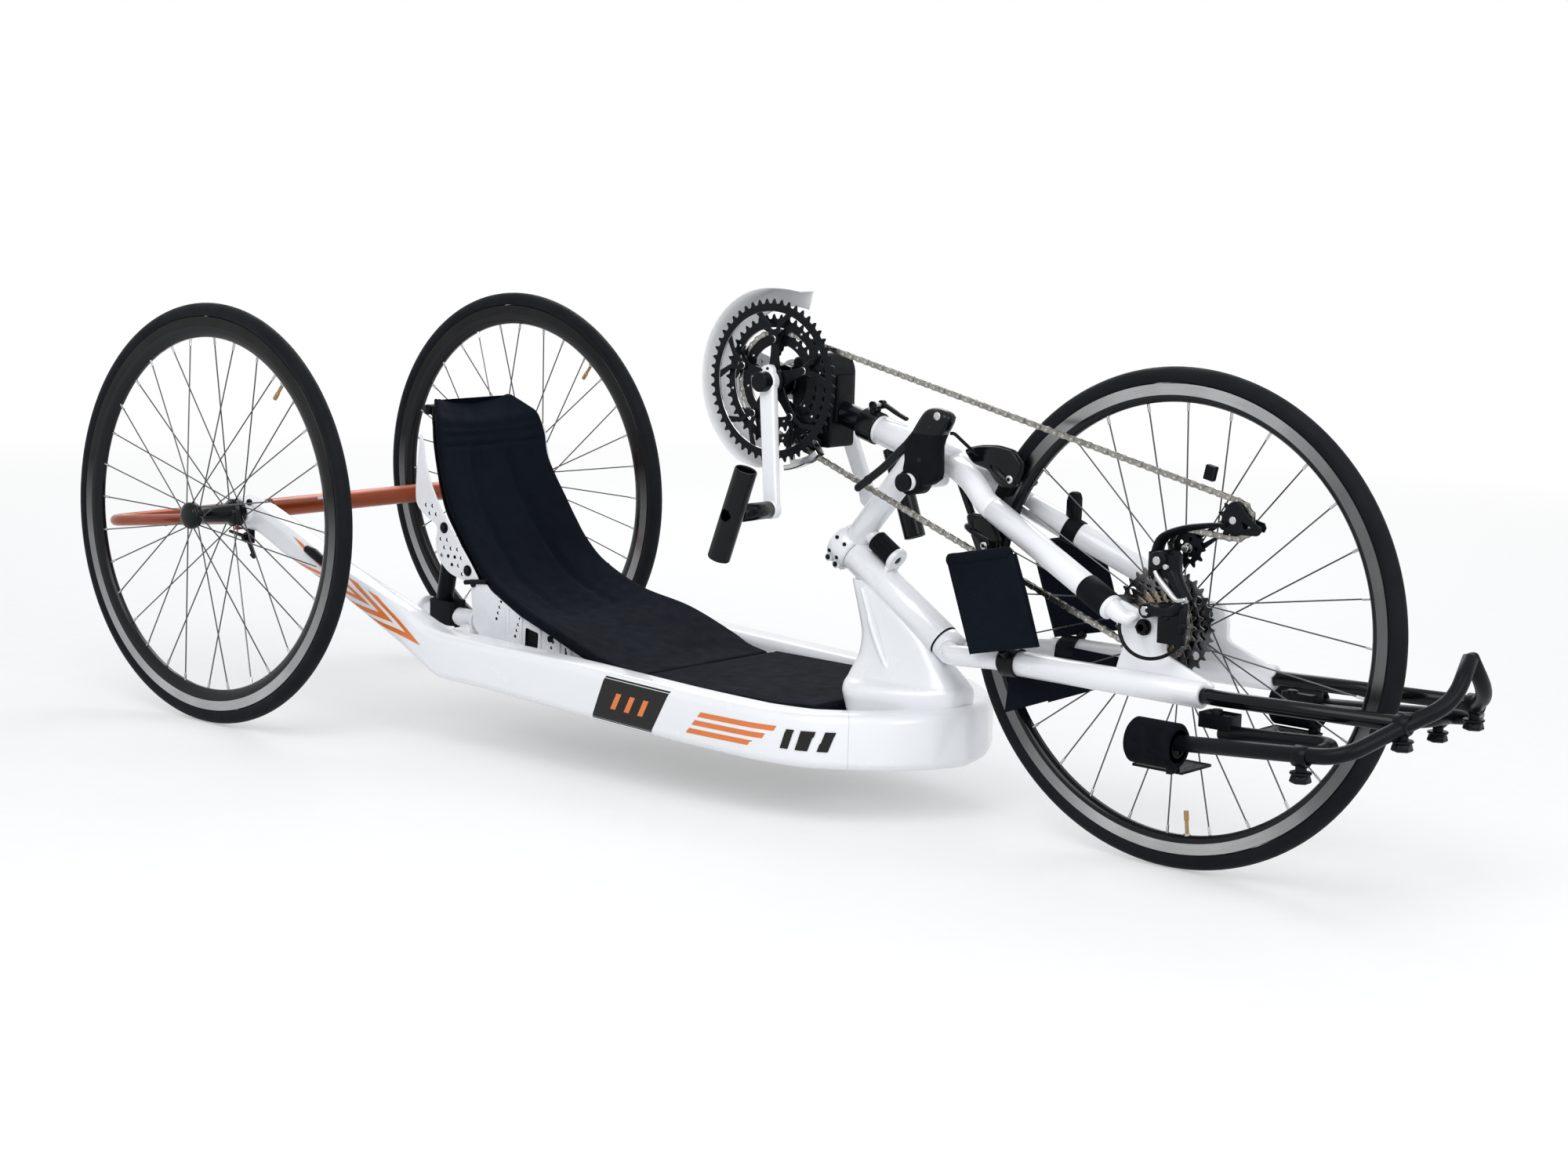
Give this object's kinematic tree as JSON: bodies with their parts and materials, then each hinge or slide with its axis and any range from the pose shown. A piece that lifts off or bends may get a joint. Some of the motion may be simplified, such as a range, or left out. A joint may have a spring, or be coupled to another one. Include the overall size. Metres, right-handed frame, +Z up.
{
  "type": "recumbent handcycle",
  "caption": "Recumbent hand-cranked tricycle with a low bucket seat, cambered rear wheels, hand cranks on a steering fork, gears, rim brakes and a footrest.",
  "frame": {"origin": "centre of the footprint on the ground", "axes": "+X forward along the travel direction, +Y to the rider's left, +Z up"},
  "size_m": [2.2214, 0.7168, 0.6715],
  "materials": {
    "white_frame": "gloss white paint",
    "orange_metal": "satin metallic orange",
    "black_metal": "satin black anodised",
    "tyre_black": "black tread rubber",
    "rim_black": "black rim with a bare brake track",
    "steel": "bare steel",
    "seat_fabric": "black padded fabric",
    "shell_black": "black shell",
    "grip_black": "gloss black",
    "foam_black": "black foam",
    "damper_rubber": "black rubber",
    "mesh_fabric": "black mesh fabric",
    "guard_white": "white plastic",
    "cable_black": "black cable housing"
  },
  "bodies": {
    "frame": {"main_rail_right": "white_frame", "main_rail_left": "white_frame", "head_tower": "white_frame", "axle_tube": "orange_metal", "rear_bumper": "orange_metal", "back_cushion": "seat_fabric", "front_cushion": "seat_fabric", "seat_shell": "shell_black", "seat_plate_right": "white_frame", "seat_plate_left": "white_frame", "seat_rail_right": "white_frame", "seat_rail_left": "white_frame", "headset_upper": "black_metal", "headset_lower": "black_metal", "steering_damper": "damper_rubber"},
    "parking_brake": {"parking_brake_lever": "black_metal"},
    "wheel_right": {"tyre_right": "tyre_black", "rim_right": "rim_black", "hub_right": "black_metal"},
    "wheel_left": {"tyre_left": "tyre_black", "rim_left": "rim_black", "hub_left": "black_metal"},
    "fork": {"fork_crown": "white_frame", "boom_frame": "white_frame", "fork_leg_right": "white_frame", "fork_leg_left": "white_frame", "front_axle": "black_metal", "boom_slide": "black_metal", "boom_collar": "black_metal", "chain_guard": "guard_white", "front_derailleur": "steel", "chain": "steel", "derailleur_cage": "black_metal", "derailleur_body": "black_metal", "brake_hood": "shell_black", "brake_caliper_upper": "black_metal", "brake_caliper_lower": "black_metal", "foot_frame": "black_metal", "calf_rest_right": "mesh_fabric", "calf_rest_left": "mesh_fabric", "heel_roller_right": "foam_black", "heel_roller_left": "foam_black", "leg_sensor": "shell_black", "brake_cable": "cable_black", "shift_cable": "cable_black"},
    "wheel_front": {"tyre_front": "tyre_black", "rim_front": "rim_black", "hub_front": "black_metal"},
    "cranks": {"crank_right": "black_metal", "crank_left": "black_metal", "chainring_large": "black_metal", "chainring_middle": "black_metal", "chainring_small": "steel"},
    "grip_right": {"handle_right": "grip_black"},
    "grip_left": {"handle_left": "grip_black"},
    "sprockets": {"cassette": "steel"},
    "pulley_guide": {"jockey_guide": "shell_black"},
    "pulley_tension": {"jockey_tension": "shell_black"},
    "clamp_lever": {"collar_lever": "black_metal"},
    "brake_blade": {"brake_lever": "black_metal"}
  },
  "joints": [
    {"name": "steering", "type": "hinge", "parent": "frame", "child": "fork", "pos_m": [0.21687, 0, 0.3266], "axis": [0.8425, 0, -0.5388], "range_deg": [-25, 25], "stiffness_Nm_per_rad": 40},
    {"name": "rear_wheel_right_spin", "type": "hinge", "parent": "frame", "child": "wheel_right", "pos_m": [-0.73023, -0.3135, 0.3044], "axis": [0, 0.9997, -0.0262], "continuous": true},
    {"name": "rear_wheel_left_spin", "type": "hinge", "parent": "frame", "child": "wheel_left", "pos_m": [-0.73023, 0.3135, 0.3044], "axis": [0, 0.9997, 0.0262], "continuous": true},
    {"name": "parking_brake_turn", "type": "hinge", "parent": "frame", "child": "parking_brake", "pos_m": [-0.73823, -0.24, 0.263], "axis": [0, -1, 0], "range_deg": [0, 35]},
    {"name": "front_wheel_spin", "type": "hinge", "parent": "fork", "child": "wheel_front", "pos_m": [0.71677, 0, 0.3045], "axis": [0, 1, 0], "continuous": true},
    {"name": "crank_spin", "type": "hinge", "parent": "fork", "child": "cranks", "pos_m": [0.11277, 0, 0.549], "axis": [0, 1, 0], "continuous": true},
    {"name": "sprocket_spin", "type": "hinge", "parent": "fork", "child": "sprockets", "pos_m": [0.71677, 0, 0.3045], "axis": [0, 1, 0], "continuous": true},
    {"name": "pulley_guide_spin", "type": "hinge", "parent": "fork", "child": "pulley_guide", "pos_m": [0.75177, -0.043, 0.4], "axis": [0, 1, 0], "continuous": true},
    {"name": "pulley_tension_spin", "type": "hinge", "parent": "fork", "child": "pulley_tension", "pos_m": [0.81477, -0.043, 0.44], "axis": [0, 1, 0], "continuous": true},
    {"name": "grip_right_spin", "type": "hinge", "parent": "cranks", "child": "grip_right", "pos_m": [0.15515, -0.178, 0.38747], "axis": [0, 1, 0], "continuous": true},
    {"name": "grip_left_spin", "type": "hinge", "parent": "cranks", "child": "grip_left", "pos_m": [0.15515, 0.178, 0.38747], "axis": [0, 1, 0], "continuous": true},
    {"name": "clamp_lever_turn", "type": "hinge", "parent": "fork", "child": "clamp_lever", "pos_m": [0.24467, 0, 0.52537], "axis": [0, -1, 0], "range_deg": [0, 90]},
    {"name": "brake_squeeze", "type": "hinge", "parent": "fork", "child": "brake_blade", "pos_m": [0.38577, -0.057, 0.512], "axis": [0, -1, 0], "range_deg": [0, 12], "stiffness_Nm_per_rad": 1.2, "springref_deg": -14.32}
  ],
  "couplings": [
    {"joint": "sprocket_spin", "follows": "crank_spin", "ratio": 1.5238},
    {"joint": "pulley_tension_spin", "follows": "crank_spin", "ratio": 2.9091},
    {"joint": "pulley_guide_spin", "follows": "crank_spin", "ratio": -2.9091}
  ]
}
